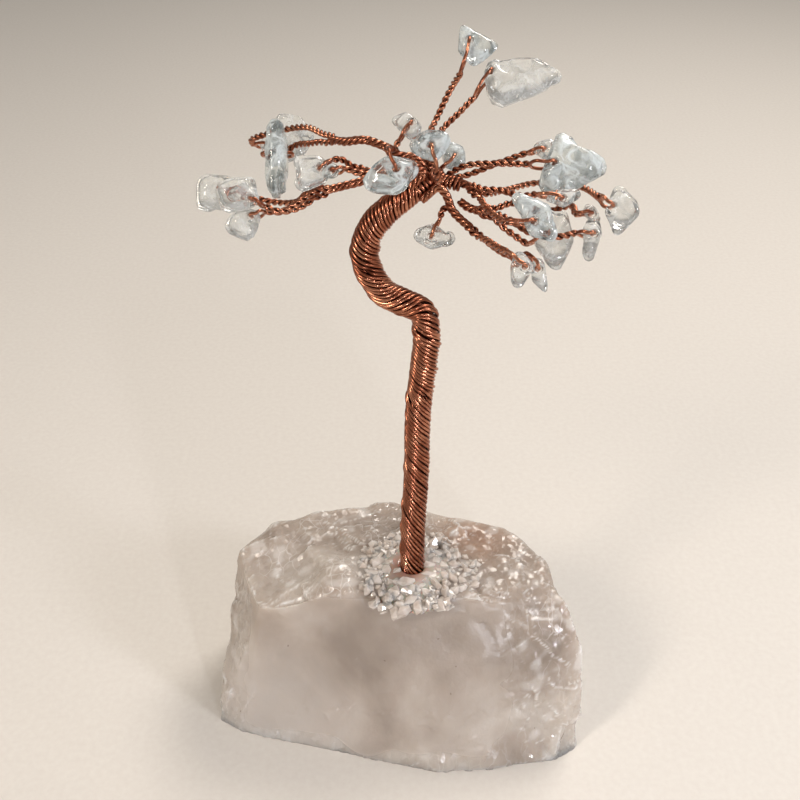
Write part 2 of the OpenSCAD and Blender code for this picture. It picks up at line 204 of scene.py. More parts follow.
CHIP_QUARTZ = clear_quartz("tumbled_clear_quartz", "#F4F6F5", "#E6EAE9", 0.35)
MISTY_QUARTZ = clear_quartz("tumbled_misty_quartz", "#E6ECEC", "#CFD8DA", 0.75)


def crushed_quartz():
    """Quartz crushed to crumbs: frosted white by its countless fresh cracks, with glassy faces."""
    made, shader = surface("crushed_white_quartz")
    tree = made.node_tree
    place = add(tree, "ShaderNodeTexCoord").outputs["Object"]
    # Some crumbs are clearer than others: patches of 1.5 mm.
    clear = add(tree, "ShaderNodeTexNoise", {"Scale": 650, "Detail": 2.0}, Vector=place)
    tree.links.new(tones(tree, clear.outputs["Fac"], (0.35, "#B9ADA3"), (0.65, "#D8D0C9")), shader.inputs["Base Color"])
    tree.links.new(levels(tree, clear.outputs["Fac"], (0.45, 0.0), (0.6, 0.12)), shader.inputs["Transmission Weight"])
    shader.inputs["Subsurface Weight"].default_value = 0.9
    shader.inputs["Subsurface Radius"].default_value = (1.0, 0.95, 0.9)
    shader.inputs["Subsurface Scale"].default_value = 0.0006
    shader.inputs["IOR"].default_value = 1.54
    shader.inputs["Roughness"].default_value = 0.1
    return made


GRIT_QUARTZ = crushed_quartz()


def round_patch(tree, place, centre, radius):
    """1 at a point given in millimetres, falling to 0 at the radius."""
    scale = 1000 / radius
    moved = add(
        tree, "ShaderNodeMapping",
        {"Location": [-c / radius for c in centre], "Scale": (scale, scale, scale)}, Vector=place,
    )
    return add(tree, "ShaderNodeTexGradient", {"gradient_type": "SPHERICAL"}, Vector=moved.outputs[0]).outputs["Fac"]


def milky_quartz():
    """Raw milky quartz: cloudy and translucent, with glassy broken faces and white bruised edges."""
    made, shader = surface("raw_milky_quartz")
    tree = made.node_tree
    place = add(tree, "ShaderNodeTexCoord").outputs["Object"]
    # Clouds of bubbles 10 to 25 mm across, with thinner wisps in them.
    clouds = add(tree, "ShaderNodeTexNoise", {"Scale": 60, "Detail": 4.0, "Distortion": 0.6}, Vector=place)
    colour = tones(tree, clouds.outputs["Fac"], (0.35, "#9B8E83"), (0.5, "#AFA297"), (0.65, "#C5BBB1"))
    bruise = add(tree, "ShaderNodeAttribute", {"attribute_name": "bruise"}).outputs["Fac"]
    broken = add(tree, "ShaderNodeAttribute", {"attribute_name": "broken"}).outputs["Fac"]
    # Dark mineral specks, 0.4 mm across and far apart.
    dust = add(tree, "ShaderNodeTexNoise", {"Scale": 800, "Detail": 1.0}, Vector=place)
    # White hairline cracks inside the broken parts, 3 to 8 mm long, here and there.
    slivers = add(
        tree, "ShaderNodeMapping", {"Rotation": (-0.95, 0.47, 0.0), "Scale": (520, 420, 110)}, Vector=place,
    ).outputs[0]
    wander = add(tree, "ShaderNodeTexNoise", {"Scale": 300, "Detail": 2.0}, Vector=place)
    bent = add(tree, "ShaderNodeVectorMath", {"operation": "ADD"})
    tree.links.new(slivers, bent.inputs[0])
    tree.links.new(wander.outputs["Color"], bent.inputs[1])
    veins = add(tree, "ShaderNodeTexVoronoi", {"Scale": 1.0, "feature": "DISTANCE_TO_EDGE"}, Vector=bent.outputs[0])
    hairline = levels(tree, veins.outputs["Distance"], (0.0, 0.75), (0.045, 0.0))
    where = add(tree, "ShaderNodeTexNoise", {"Scale": 140, "Detail": 2.0}, Vector=place)
    for share in (levels(tree, where.outputs["Fac"], (0.5, 0.0), (0.66, 0.55)), broken):
        scaled = add(tree, "ShaderNodeMath", {"operation": "MULTIPLY"})
        tree.links.new(hairline, scaled.inputs[0])
        tree.links.new(share, scaled.inputs[1])
        hairline = scaled.outputs[0]
    for patch, tint in (
        (hairline, "#F2EFEC"),
        # The lower left is whiter, and there is a faint rust stain on the top behind the trunk.
        (levels(tree, round_patch(tree, place, (-24, -14, 4), 20), (0.0, 0.0), (0.6, 0.6)), "#D8D1CB"),
        (levels(tree, round_patch(tree, place, (12, 7, 27), 9), (0.0, 0.0), (0.8, 0.5)), "#B58A6C"),
        (levels(tree, dust.outputs["Fac"], (0.78, 0.0), (0.8, 0.6)), "#6E5D50"),
        # Broken edges are crushed white.
        (bruise, "#F6F4F2"),
    ):
        mixed = add(tree, "ShaderNodeMix", {"data_type": "RGBA"})
        tree.links.new(patch, mixed.inputs[0])
        tree.links.new(colour, mixed.inputs[6])
        mixed.inputs[7].default_value = linear(tint)
        colour = mixed.outputs[2]
    tree.links.new(colour, shader.inputs["Base Color"])
    shader.inputs["Subsurface Weight"].default_value = 0.8
    shader.inputs["Subsurface Radius"].default_value = (1.0, 0.9, 0.82)
    shader.inputs["Subsurface Scale"].default_value = 0.008
    shader.inputs["Transmission Weight"].default_value = 0.1
    shader.inputs["IOR"].default_value = 1.54
    # Fresh breaks are glassy, the old outer skin is satin.
    tree.links.new(levels(tree, broken, (0.0, 0.34), (1.0, 0.07)), shader.inputs["Roughness"])
    # Tiny flat breaks about 0.9 mm across, each leaning its own way, so that some catch the light.
    splinters = add(
        tree, "ShaderNodeMapping", {"Rotation": (-0.95, 0.47, 0.0), "Scale": (1300, 1300, 550)}, Vector=place,
    ).outputs[0]
    cells = add(tree, "ShaderNodeTexVoronoi", {"Scale": 1.0}, Vector=splinters)
    offset = add(tree, "ShaderNodeVectorMath", {"operation": "SUBTRACT"})
    tree.links.new(splinters, offset.inputs[0])
    tree.links.new(cells.outputs["Position"], offset.inputs[1])
    lean = add(tree, "ShaderNodeVectorMath", {"operation": "SUBTRACT"})
    tree.links.new(cells.outputs["Color"], lean.inputs[0])
    lean.inputs[1].default_value = (0.5, 0.5, 0.5)
    flat = add(tree, "ShaderNodeVectorMath", {"operation": "DOT_PRODUCT"})
    tree.links.new(offset.outputs[0], flat.inputs[0])
    tree.links.new(lean.outputs[0], flat.inputs[1])
    chipped = add(tree, "ShaderNodeBump", {"Distance": 0.0007}, Height=flat.outputs["Value"])
    tree.links.new(levels(tree, broken, (0.0, 0.12), (1.0, 0.7)), chipped.inputs["Strength"])
    grain = add(tree, "ShaderNodeTexNoise", {"Scale": 1600, "Detail": 4.0, "Roughness": 0.6}, Vector=place)
    ripple = add(
        tree, "ShaderNodeBump", {"Strength": 0.25, "Distance": 0.00025},
        Height=grain.outputs["Fac"], Normal=chipped.outputs["Normal"],
    )
    tree.links.new(ripple.outputs["Normal"], shader.inputs["Normal"])
    return made


ROCK_QUARTZ = milky_quartz()


def set_resin():
    """Clear two-part resin, set glossy and slightly wavy."""
    made, shader = surface("clear_set_resin")
    tree = made.node_tree
    place = add(tree, "ShaderNodeTexCoord").outputs["Object"]
    wave = add(tree, "ShaderNodeTexNoise", {"Scale": 500, "Detail": 1.0}, Vector=place)
    bump = add(tree, "ShaderNodeBump", {"Strength": 0.4, "Distance": 0.0002}, Height=wave.outputs["Fac"])
    tree.links.new(bump.outputs["Normal"], shader.inputs["Normal"])
    # Painted reflection: the copper seen through the glue next to the trunk is painted into its colour as a
    # copper-tinted patch.
    near = levels(tree, round_patch(tree, place, (1, -1.6, 30), 4.2), (0.0, 0.0), (0.5, 0.6))
    tint = add(tree, "ShaderNodeMix", {"data_type": "RGBA"})
    tree.links.new(near, tint.inputs[0])
    tint.inputs[6].default_value = linear("#CDC2B8")
    tint.inputs[7].default_value = linear("#C0866B")
    tree.links.new(tint.outputs[2], shader.inputs["Base Color"])
    shader.inputs["Transmission Weight"].default_value = 0.35
    shader.inputs["Subsurface Weight"].default_value = 0.6
    shader.inputs["Subsurface Scale"].default_value = 0.001
    shader.inputs["Roughness"].default_value = 0.08
    shader.inputs["IOR"].default_value = 1.5
    return made


RESIN = set_resin()


def pale_floor():
    """Matt seamless paper."""
    made, shader = surface("matt_floor_paper")
    tree = made.node_tree
    place = add(tree, "ShaderNodeTexCoord").outputs["Object"]
    fibre = add(tree, "ShaderNodeTexNoise", {"Scale": 900, "Detail": 4.0}, Vector=place)
    colour = tones(tree, fibre.outputs["Fac"], (0.3, "#D5CFC8"), (0.7, "#DAD5CE"))
    tree.links.new(colour, shader.inputs["Base Color"])
    shader.inputs["Roughness"].default_value = 0.8
    return made


# ---------------------------------------------------------------- modelling helpers


def only(piece):
    """Makes the piece the one thing that operators act on."""
    bpy.ops.object.select_all(action="DESELECT")
    piece.select_set(True)
    bpy.context.view_layer.objects.active = piece


def worked(piece, kind, **settings):
    """Adds a modifier to the piece and applies it."""
    only(piece)
    modifier = piece.modifiers.new(kind.lower(), kind)
    for key, value in settings.items():
        setattr(modifier, key, value)
    bpy.ops.object.modifier_apply(modifier=modifier.name)


def rough_out(node, name):
    """A closed copy of a CAD solid, to be worked on."""
    mesh = frame["nodes"][node].data.copy()
    mesh.materials.clear()
    piece = bpy.data.objects.new(name, mesh)
    bpy.context.scene.collection.objects.link(piece)
    only(piece)
    bpy.ops.object.mode_set(mode="EDIT")
    bpy.ops.mesh.select_all(action="SELECT")
    bpy.ops.mesh.remove_doubles(threshold=0.000001)
    bpy.ops.object.mode_set(mode="OBJECT")
    return piece


def finished(piece, material, slot, body, *nodes):
    """Dresses the piece and fixes it to its body in place of the CAD nodes."""
    piece.data.materials.clear()
    piece.data.materials.append(material)
    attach(piece, body)
    if nodes:
        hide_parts(*nodes)
    return piece


def smooth_shaded(piece, degrees=None):
    only(piece)
    if degrees is None:
        bpy.ops.object.shade_smooth()
    else:
        bpy.ops.object.shade_smooth_by_angle(angle=math.radians(degrees))


def between(value, low, high):
    """0 below low, 1 above high and a smooth rise in between."""
    share = max(0.0, min(1.0, (value - low) / (high - low)))
    return share * share * (3 - 2 * share)


def drift(point):
    """A smooth random vector that is the same in every run, which noise_vector is not."""
    return Vector([noise.noise(point + Vector((0, 0, shift))) for shift in (11.3, 47.9, 83.1)])


def facet(point, size, tilt, grain=None):
    """Height in millimetres of a surface broken into flats about size across, each leaning its own way.

    With a grain the flats are long splinters that lie along it.
    """
    if grain is not None:
        point = point - 0.7 * point.dot(grain) * grain
    at = point / size + 0.25 * drift(point / (1.7 * size))
    away, seeds = noise.voronoi(at)
    own, next_one = (
        tilt * size * (at - seed).dot(drift(seed * 7.31 + Vector((3.1, 9.2, 4.7)))) for seed in seeds[:2]
    )
    # Next to the border between two flats one runs into the other.
    share = 0.5 * (1 - between(away[1] - away[0], 0, 0.22))
    return own + share * (next_one - own)


# ---------------------------------------------------------------- the rock

FOOT = Vector((2, -1, 29.3))


GLINTS = Vector((20, -17, 13))
LEFT_GRAIN = Vector((0.8, 0.5, 0.3)).normalized()
RIGHT_GRAIN = Vector((0.45, -0.7, -0.5)).normalized()


def brokenness(p, n):
    """1 where the rock broke rough: top, shoulders, right end and back. 0 on the calm broad front."""
    n = n + 0.12 * drift(p / 5)
    p = p + 4 * drift(p / 7)
    return max(
        between(n.z, 0.48, 0.68),
        between(p.x, 14, 23),
        between(-p.x, 25, 29),
        0.8 * between(n.y, 0.2, 0.6),
        0.45 * between(3.5 - p.z, 0, 2),
        between(6 - (p - GLINTS).length, 0, 3),
    )


def carve_rock():
    rock = rough_out("rock_base", "raw_quartz_lump")
    worked(rock, "REMESH", mode="VOXEL", voxel_size=0.38 * MM)
    worked(rock, "SMOOTH", factor=0.5, iterations=4)
    mesh = rock.data
    points = [v.co / MM for v in mesh.vertices]
    normals = [v.normal.copy() for v in mesh.vertices]
    broken = []
    for vertex, p, n in zip(mesh.vertices, points, normals):
        rough = brokenness(p, n)
        broken.append(rough)
        if p.z < 0.25:
            vertex.co.z = 0.0
            continue
        grain = LEFT_GRAIN if p.x < 2 else RIGHT_GRAIN
        height = 0.9 * noise.noise(p / 13) + 0.2 * noise.noise(p / 4) + facet(p, 10, 0.06)
        if rough > 0.01:
            height += rough * (facet(p, 7, 0.3) + facet(p, 2.4, 0.26, grain) + facet(p, 1.1, 0.14))
        glint = between(6 - (p - GLINTS).length, 0, 3)
        if glint > 0.01:
            height += glint * facet(p, 1.7, 0.4)
        # A broken crease crosses the front.
        crease = between(1.6 - abs(p.z - 9.5 - 0.05 * p.x), 0, 1.6) * between(p.x, -12, -4) * between(-n.y, 0.2, 0.6)
        if crease > 0.01:
            height += crease * facet(p, 1.4, 0.3)
        # The seat of the glue stays as it was drilled.
        height *= between((p - FOOT).length, 8.2, 12)
        vertex.co += n * MM * min(height, 0.9)
        vertex.co.z = max(vertex.co.z, 0.0)
    mesh.update()
    marks = mesh_attribute(rock, "bruise"), mesh_attribute(rock, "broken")
    for i, value in enumerate(rough_edges(rock)):
        frost = between(noise.noise(points[i] / 2.6 + Vector((0, 0, 40))), 0.2, 0.5)
        marks[0].data[i].value = min(1.0, value * (0.1 + 0.9 * broken[i]) + 0.3 * frost * broken[i])
        marks[1].data[i].value = broken[i]
    smooth_shaded(rock, 25)
    return rock


def mesh_attribute(piece, name):
    return piece.data.attributes.new(name, "FLOAT", "POINT")


def rough_edges(piece):
    """0 to 1 for each vertex: how sharply the surface turns outwards there."""
    mesh = piece.data
    total = [Vector() for _ in mesh.vertices]
    count = [0] * len(mesh.vertices)
    for edge in mesh.edges:
        a, b = edge.vertices
        total[a] += mesh.vertices[b].co
        total[b] += mesh.vertices[a].co
        count[a] += 1
        count[b] += 1
    values = []
    for i, vertex in enumerate(mesh.vertices):
        rise = (vertex.co - total[i] / max(count[i], 1)).dot(vertex.normal) / MM
        values.append(0.5 * between(rise, 0.02, 0.09))
    return values


rock = finished(carve_rock(), ROCK_QUARTZ, "rock", "tree", "rock_base")

# ---------------------------------------------------------------- wires: lines in space


def heading(points, i):
    """The direction of a smooth curve where it passes its point i."""
    last = len(points) - 1
    before = points[max(i, 1)] - points[max(i, 1) - 1]
    after = points[min(i + 1, last)] - points[min(i + 1, last) - 1]
    blend = before.length * after.normalized() + after.length * before.normalized()
    return blend / (before.length + after.length)


def smooth_line(points, steps=12):
    """A smooth curve through the points, in millimetres."""
    points = [Vector(p) for p in points]
    line = []
    for i, (a, b) in enumerate(zip(points, points[1:])):
        leave, arrive = (b - a).length * heading(points, i), (b - a).length * heading(points, i + 1)
        for k in range(steps):
            t = k / steps
            line.append(
                (1 - t) ** 2 * ((1 + 2 * t) * a + t * leave) + t * t * ((3 - 2 * t) * b - (1 - t) * arrive)
            )
    return line + [points[-1]]


def even(line, gap):
    """The same line with points the given distance apart."""
    walked = [0.0]
    for a, b in zip(line, line[1:]):
        walked.append(walked[-1] + (b - a).length)
    count = max(2, round(walked[-1] / gap))
    made, i = [], 0
    for k in range(count + 1):
        target = walked[-1] * k / count
        while i < len(line) - 2 and walked[i + 1] < target:
            i += 1
        share = (target - walked[i]) / max(walked[i + 1] - walked[i], 1e-9)
        made.append(line[i].lerp(line[i + 1], min(1.0, share)))
    return made


def carried(line, first):
    """For each point of a line its tangent and two side vectors that turn with it but do not twist."""
    last = len(line) - 1
    frames, side = [], Vector(first)
    for i in range(last + 1):
        tangent = (line[min(i + 1, last)] - line[max(i - 1, 0)]).normalized()
        side = (side - tangent * side.dot(tangent)).normalized()
        frames.append((tangent, side, tangent.cross(side)))
    return frames


def spun(line, frames, radius, turns, phase):
    """A line wound round another: radius and turns are lists, one value for each point."""
    made = []
    for point, (_, side, up), r, turn in zip(line, frames, radius, turns):
        angle = phase + turn
        made.append(point + r * (math.cos(angle) * side + math.sin(angle) * up))
    return made


def drawn_wires(name, lines, spine, outer, diameter=0.5, sides=2):
    """One mesh of round wires that follow lines given in millimetres, wound about a spine.

    outer is how far out they reach, as one radius or one for each point of the spine.
    """
    curve = bpy.data.curves.new(name, "CURVE")
    curve.dimensions = "3D"
    curve.bevel_depth = diameter / 2 * MM
    curve.bevel_resolution = sides
    curve.use_fill_caps = True
    for line in lines:
        spline = curve.splines.new("POLY")
        spline.points.add(len(line) - 1)
        for knot, point in zip(spline.points, line):
            knot.co = (*(point * MM), 1.0)
    piece = bpy.data.objects.new(name, curve)
    bpy.context.scene.collection.objects.link(piece)
    only(piece)
    bpy.ops.object.convert(target="MESH")
    piece = bpy.context.view_layer.objects.active
    smooth_shaded(piece)
    tree = KDTree(len(spine))
    for i, point in enumerate(spine):
        tree.insert(point, i)
    tree.balance()
    # Painted shade mask: 0 on the inner sides of the wires, towards the spine, rising to 1 on the outside, which keeps
    # the bright colour.
    rubbed_and_unshaded = mesh_attribute(piece, "rubbed_and_unshaded")
    for i, vertex in enumerate(piece.data.vertices):
        _, nearest, away = tree.find(vertex.co / MM)
        edge = outer[nearest] if isinstance(outer, list) else outer
        rubbed_and_unshaded.data[i].value = between(away, edge - 0.3, edge - 0.06)
    return piece


# ---------------------------------------------------------------- the trunk

TRUNK_LINE = [
    (2, -1, 28), (2, -1, 31.5), (2.1, -0.5, 38), (2.5, 0.3, 48), (2.8, 1.4, 61), (3.5, 2, 68),
    (3.8, 2.4, 72.5), (3, 2.6, 75.6), (0.8, 2.7, 76.8), (-1.9, 2.8, 78.2), (-4, 3, 81.2),
    (-4.8, 3.3, 85), (-3.2, 3.6, 88.7), (-0.8, 3.8, 91), (1.3, 3.9, 92.4), (3.1, 4, 94),
]
TRUNK_R = 3.9 / 2
WIRE_R = 0.25
LEFT_LAY = -1


def lay_layer(line, start, end, count, lay_angle, seed, radius, jitter=0.08):
    """Wires between two distances along the trunk, laid side by side in a left-handed screw."""
    frames = carried(line, (0.3, -0.8, 0.5))
    gap = (line[1] - line[0]).length
    turn, turns = 0.0, []
    for i in range(len(line)):
        turns.append(turn)
        turn += LEFT_LAY * gap * math.tan(math.radians(lay_angle(i * gap))) / radius
    dice = random.Random(seed)
    wires = []
    for k in range(count):
        first = start + dice.uniform(-1.6, 1.6)
        final = end + dice.uniform(-1.6, 1.6)
        wander, lift = dice.uniform(0, 50), dice.uniform(0, 50)
        phase = 2 * math.pi * (k + dice.uniform(-jitter, jitter)) / count
        rise, twist = [], []
        for i in range(len(line)):
            s = i * gap
            dive = 0.6 * (1 - between(s, first, first + 1.4) * (1 - between(s, final - 1.4, final)))
            stray = 0.06 * noise.noise(Vector((s / 5, wander, 0))) + 0.24 * between(noise.noise(Vector((s / 4, lift, 3))), 0.15, 0.6)
            taper = 0.55 * between(s, trunk_length - 8, trunk_length)
            rise.append(radius - dive + stray - taper)
            twist.append(turns[i] + 0.12 * noise.noise(Vector((s / 5, wander, 7))))
        wire = spun(line, frames, rise, twist, phase)
        low, high = max(0, int(first / gap)), min(len(line), int(final / gap) + 1)
        wires.append(wire[low:high])
    return wires


def distance_at(height):
    """How far along the trunk it first reaches a height."""
    return next(i for i, p in enumerate(trunk) if p.z > height) * 0.16


trunk = even(smooth_line(TRUNK_LINE), 0.16)
trunk_length = 0.16 * (len(trunk) - 1)
below_knee, knee, bend = distance_at(62), distance_at(72.5), distance_at(83)
RADIUS = TRUNK_R - WIRE_R
outer_wires = [
    *lay_layer(trunk, -2, below_knee + 1.2, 16, lambda s: 33 + 9 * between(s, 4, 28), 3, RADIUS),
    *lay_layer(trunk, below_knee - 1.2, knee + 1, 11, lambda s: 50 + 9 * between(s, below_knee, below_knee + 3), 6, RADIUS),
    *lay_layer(trunk, knee - 1, bend + 1.2, 13, lambda s: 49, 8, RADIUS),
    *lay_layer(trunk, bend - 1.2, trunk_length + 1, 9, lambda s: 56 + 8 * between(s, bend, bend + 4), 9, RADIUS),
]
outline = [TRUNK_R - 0.55 * between(i * 0.16, trunk_length - 8, trunk_length) for i in range(len(trunk))]
finished(drawn_wires("trunk_outer_wires", outer_wires, trunk, outline), COPPER, "copper", "tree", "trunk_wrap")
inner_wires = lay_layer(trunk, -2, trunk_length + 2, 9, lambda s: 26, 4, 1.0)
inner_bundle = drawn_wires("trunk_inner_wires", inner_wires, trunk, 1.4, 0.76)
finished(inner_bundle, SHADED_COPPER, "copper_core", "tree", "trunk_core")

# ---------------------------------------------------------------- the crown

FACE_LEAN = 55
CROWN = trunk[-1]
CROWN_AXIS = (trunk[-1] - trunk[-3]).normalized()
CROWN_BACK = (Vector((0, 1, 0)) - CROWN_AXIS * CROWN_AXIS.y).normalized()
CROWN_SIDE = CROWN_BACK.cross(-CROWN_AXIS)


def slot_at(a, b):
    """A wire's place on the end of the rope: a is up and to the left, b is to the back."""
    start = CROWN + 0.25 * CROWN_AXIS + a * CROWN_SIDE + b * CROWN_BACK
    return [start - 1.6 * CROWN_AXIS, start, start + CROWN_AXIS]


def fork_at(stem, count, angle):
    """A twig's place beside the others at the end of a stem."""
    line = STEM_LINES[stem]
    last = line[-1]
    along = (last - line[-3]).normalized()
    side = along.cross(Vector((0, 0, 1))).normalized()
    up = side.cross(along)
    reach = 0.55 / math.sin(math.pi / count)
    turn = math.radians(angle)
    start = last + 0.25 * along + reach * (math.cos(turn) * side + math.sin(turn) * up)
    return [last - 1.2 * along, start, start + along]


STEMS = {
    "left_high": [
        *slot_at(1.6, 0.3), (2, 4.7, 97.2), (0, 4.6, 97.6), (-2, 4.2, 99), (-4.5, 3.8, 100), (-7, 4.5, 99.5), (-9, 6.5, 99),
    ],
    "left_mid": [*slot_at(1.3, -1.3), (2.2, 2.4, 96.8), (-0.6, 2.2, 96.3), (-3.2, 2.8, 96), (-5, 3.4, 96)],
    "left_low": [
        *slot_at(0.6, 2.4), (2.6, 6.8, 96.1), (-0.6, 6.2, 95), (-4.5, 5.5, 93.8), (-7.5, 5, 93.2), (-10, 4, 93),
    ],
    "right": [*slot_at(-1.5, -0.2), (6, 3.2, 94.4), (8, 2.6, 94.6), (9.5, 1, 94.5)],
    "low": [*slot_at(-1, -1.6), (5.6, 2, 93.8), (6.8, 0.4, 91.8), (9, -2, 90.5)],
    "right_low": [(7.8, 1.4, 92.6), (9, 0, 92.3), (10.6, -1.2, 92.5)],
}
STEM_LINES = {name: smooth_line(points) for name, points in STEMS.items()}

# Each twig: swing of its chip's face, direction in the face in which it pulls, and its route.
TWIGS = {
    "left_low_a": (0, 0, [*fork_at("left_low", 3, 20), (-14, 6.6, 90.2), (-18, 9, 89.2)]),
    "left_low_b": (0, -25, [*fork_at("left_low", 3, 140), (-13, 1.4, 92.6), (-15.5, -0.8, 92.3)]),
    "left_low_c": (0, 20, [*fork_at("left_low", 3, 260), (-12.5, 3, 91.4), (-15.5, 2.6, 90.6)]),
    "left_high_a": (-90, 180, [*fork_at("left_high", 2, 225), (-12, 9.2, 97.4), (-14.6, 12, 95.8)]),
    "left_high_b": (
        0, 175, [*fork_at("left_high", 2, 45), (-12.5, 11.5, 98.8), (-17, 14.5, 97), (-20.8, 16.5, 95)],
    ),
    "left_mid_a": (15, 35, [*fork_at("left_mid", 2, 20), (-7.8, 4.4, 97.2)]),
    "left_mid_b": (-10, 10, [(-3.5, 1.6, 96.1), (-4.9, 1.2, 96.5)]),
    "middle_a": (0, 112, [(-0.9, 2.4, 99.3), (-1.4, 1, 100.1)]),
    "middle_b": (0, 285, [*slot_at(0.2, -0.7), (4.4, 1.4, 95.8), (4.8, -1.6, 97)]),
    "middle_c": (10, 225, [*slot_at(-0.4, 0.2), (5.2, 4.8, 95.2)]),
    "back": (0, 235, [(-0.6, 5.8, 97.6), (-0.5, 6.4, 98.1)]),
    "top_a": (0, 255, [*slot_at(0.5, 0.9), (3.7, 9, 98.2), (5, 12, 100), (6.6, 13, 103.2)]),
    "top_b": (0, 235, [*slot_at(-0.3, 1.7), (4.4, 9.4, 97.4), (6, 12.2, 98.6), (7.8, 13.2, 100)]),
    "right_high_a": (0, 180, [*slot_at(-1.6, 1), (8, 4.2, 96.2), (13, 3.4, 97)]),
    "right_high_b": (0, 190, [*slot_at(-1.4, 2.3), (7.8, 7, 93.6), (13, 7.4, 95.4)]),
    "right_a": (0, 180, [*fork_at("right", 3, 320), (10.5, -3, 94.2), (11.6, -6.6, 94.4)]),
    "right_b": (0, 170, [*fork_at("right", 3, 80), (12.5, -0.8, 95.2), (15.5, -3, 95.4)]),
    "right_c": (
        0, 140, [*fork_at("right", 3, 200), (13, 2.4, 93.6), (18.5, 6, 93.2), (23.5, 4, 93.6), (25.2, -1.5, 94.4)],
    ),
    "right_d": (0, 180, [*fork_at("right_low", 3, 150), (14, -0.8, 93.4), (18.5, -0.4, 92), (21.6, -1.6, 93.4)]),
    "right_e": (0, 175, [*fork_at("right_low", 3, 30), (13, -4.4, 93.2), (16.8, -8.2, 92.6), (19.6, -9, 92.8)]),
    "right_f": (0, 205, [*fork_at("right_low", 3, 270), (13, -3, 91.2)]),
    "low_a": (0, 140, [*fork_at("low", 2, 20), (10.8, -6, 90.8), (12.2, -9.5, 91.4)]),
    "low_b": (0, 120, [*fork_at("low", 2, 200), (11.8, -5, 89.4), (14, -7.6, 89.4)]),
    "front": (0, 63, [(5.5, 0.7, 91.8)]),
}
TWIG_STARTS = {
    "left_mid_b": [(-2.4, 2.4, 95.9)],
    "middle_a": [(-2.2, 4.3, 99)],
    "back": [(-0.5, 4.6, 97)],
    "front": [(6.4, 0.8, 92.1)],
}
HINGES = {joint["name"]: joint for joint in frame["joints"]}


def in_face(p, swing):
    """A direction given in a chip's face, in the part's own directions."""
    turned = Matrix.Rotation(math.radians(swing), 3, "Y") @ Vector(p)
    return Matrix.Rotation(math.radians(FACE_LEAN), 3, "X") @ turned


def reach(node, centre, direction):
    """How far a CAD solid reaches from a point, in millimetres."""
    return max((v.co / MM - centre).dot(direction) for v in frame["nodes"][node].data.vertices)


def stem_wires(line, seed):
    """Four wires twisted into a short stem."""
    line = even(line, 0.2)
    frames = carried(line, (0.2, 0.9, 0.1))
    dice = random.Random(seed)
    wires = []
    for k in range(4):
        wander = dice.uniform(0, 40)
        radius = [0.34 + 0.05 * noise.noise(Vector((i / 9, wander, 0))) for i in range(len(line))]
        turns = [LEFT_LAY * 2 * math.pi * i * 0.2 / 3.4 for i in range(len(line))]
        wires.append(spun(line, frames, radius, turns, math.pi * k / 2))
    return wires


def twig_wires(name, seed):
    """A doubled wire: twisted together to the chip, then opened into the loop that runs through its hole."""
    swing, pull, route = TWIGS[name]
    centre = Vector(HINGES[name + "_swing"]["pos_m"]) / MM
    out = in_face((math.cos(math.radians(pull)), math.sin(math.radians(pull)), 0), swing)
    axis = in_face((0, 0, 1), swing)
    near = reach("chip_" + name, centre, out)
    side = max(reach("chip_" + name, centre, axis), reach("chip_" + name, centre, -axis)) + 0.45
    root = centre + (near + 0.8) * out
    line = even(smooth_line([*TWIG_STARTS.get(name, []), *route, root]), 0.16)
    line.reverse()
    frames = carried(line, axis)
    lay = LEFT_LAY if seed % 3 else -LEFT_LAY
    pitch = 2.0 + 0.25 * math.sin(seed)
    radius, turns = [], []
    for i in range(len(line)):
        radius.append(0.23 * (1.02 + 0.1 * noise.noise(Vector((i / 8, seed, 0)))))
        turns.append(-lay * 2 * math.pi * i * 0.16 / pitch + 0.4 * noise.noise(Vector((i / 14, seed, 5))))
    turns = [t - turns[0] for t in turns]
    first = spun(line, frames, radius, turns, 0)
    second = spun(line, frames, radius, turns, math.pi)
    across = out.cross(axis)
    bow = 0.12 * (-1) ** seed
    loop = [
        centre + (near + 0.1) * out + (side - 0.08) * axis,
        centre + (0.55 * near) * out + (side + 0.02) * axis + bow * across,
        centre + 0.3 * out + side * axis,
        centre + (side - 0.3) * axis,
        centre,
        centre - (side - 0.3) * axis,
        centre + 0.3 * out - side * axis,
        centre + (0.55 * near) * out - (side + 0.02) * axis + bow * across,
        centre + (near + 0.1) * out - (side - 0.08) * axis,
    ]
    eye = smooth_line([first[0], *loop, second[0]], 6)
    wire = list(reversed(first)) + eye[1:-1] + second
    return [wire], line


def crown_lashing():
    """Loose turns of wire that tie the roots of the stems together where they leave the trunk."""
    route = [
        trunk[-8], CROWN + 0.3 * CROWN_AXIS, CROWN + 1.5 * CROWN_AXIS, (5.4, 3.6, 94.6), (6.8, 3, 94.5), (8, 2.5, 94.5),
    ]
    spine = even(smooth_line(route), 0.12)
    frames = carried(spine, (0.3, -0.8, 0.5))
    size = [1.45 - 0.7 * between(i * 0.12, 1, 5) for i in range(len(spine))]
    wires = []
    for seed in (2, 5):
        radius = [r + 0.16 * noise.noise(Vector((i / 5, seed, 0))) for i, r in enumerate(size)]
        turns = [
            LEFT_LAY * 2 * math.pi * i * 0.12 / 1.15 + 0.9 * noise.noise(Vector((i / 9, seed, 4)))
            for i in range(len(spine))
        ]
        wires.append(spun(spine, frames, radius, turns, seed))
    outer = [r + WIRE_R for r in size]
    return drawn_wires("crown_lashing_wires", wires, spine, outer, 0.48)


finished(crown_lashing(), COPPER, "copper", "tree")
for n, (name, line) in enumerate(STEM_LINES.items()):
    stem = drawn_wires("wires_stem_" + name, stem_wires(line, n), even(line, 0.2), 0.62)
    finished(stem, COPPER, "copper", "tree", "stem_" + name)
for n, name in enumerate(TWIGS):
    wires, spine = twig_wires(name, n)
    twig = drawn_wires("wires_twig_" + name, wires, spine, 0.46, 0.46)
    finished(twig, COPPER, "copper", "tree", "twig_" + name)

# ---------------------------------------------------------------- the chips


